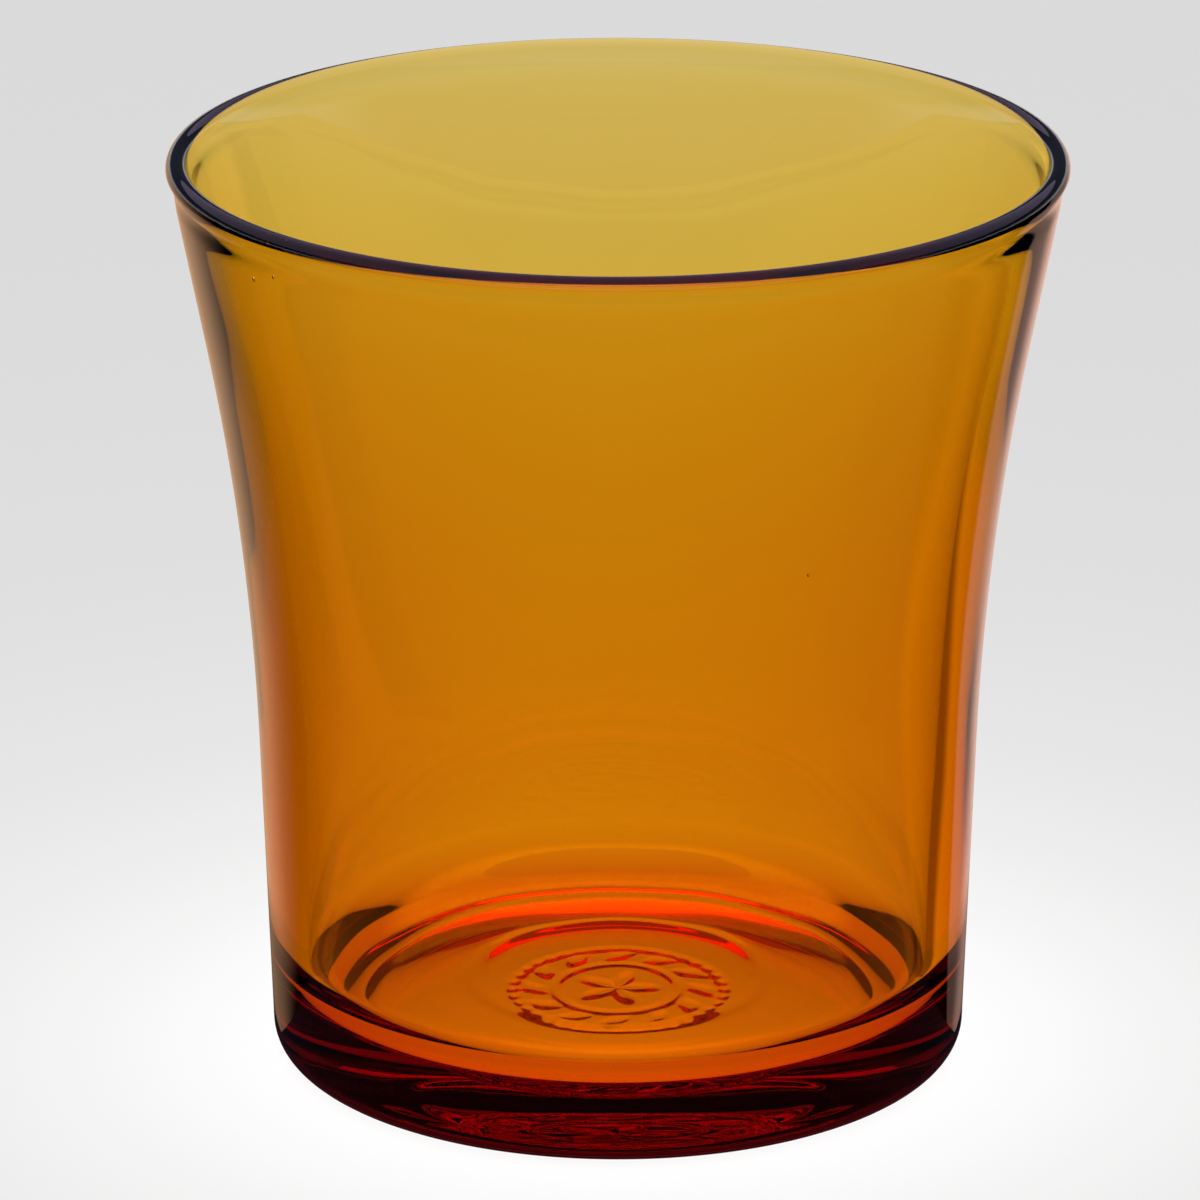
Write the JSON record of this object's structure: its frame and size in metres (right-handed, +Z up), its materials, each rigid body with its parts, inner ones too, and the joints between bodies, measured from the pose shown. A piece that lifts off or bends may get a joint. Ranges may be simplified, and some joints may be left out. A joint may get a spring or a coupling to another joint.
{
  "type": "glass tumbler",
  "caption": "Round flared tumbler pressed in one piece of amber glass, with a heavy base, a rounded lip and a plain medallion pressed into the hollow under the base.",
  "frame": {"origin": "centre of the foot ring, on the surface that the tumbler stands on", "axes": "+Z up the axis of the glass towards its mouth; the shape is round, so X and Y have no preferred direction"},
  "size_m": [0.08, 0.08, 0.0842],
  "materials": {
    "amber_glass": "fire-polished clear amber"
  },
  "bodies": {
    "root": {"tumbler": "amber_glass"}
  },
  "joints": []
}
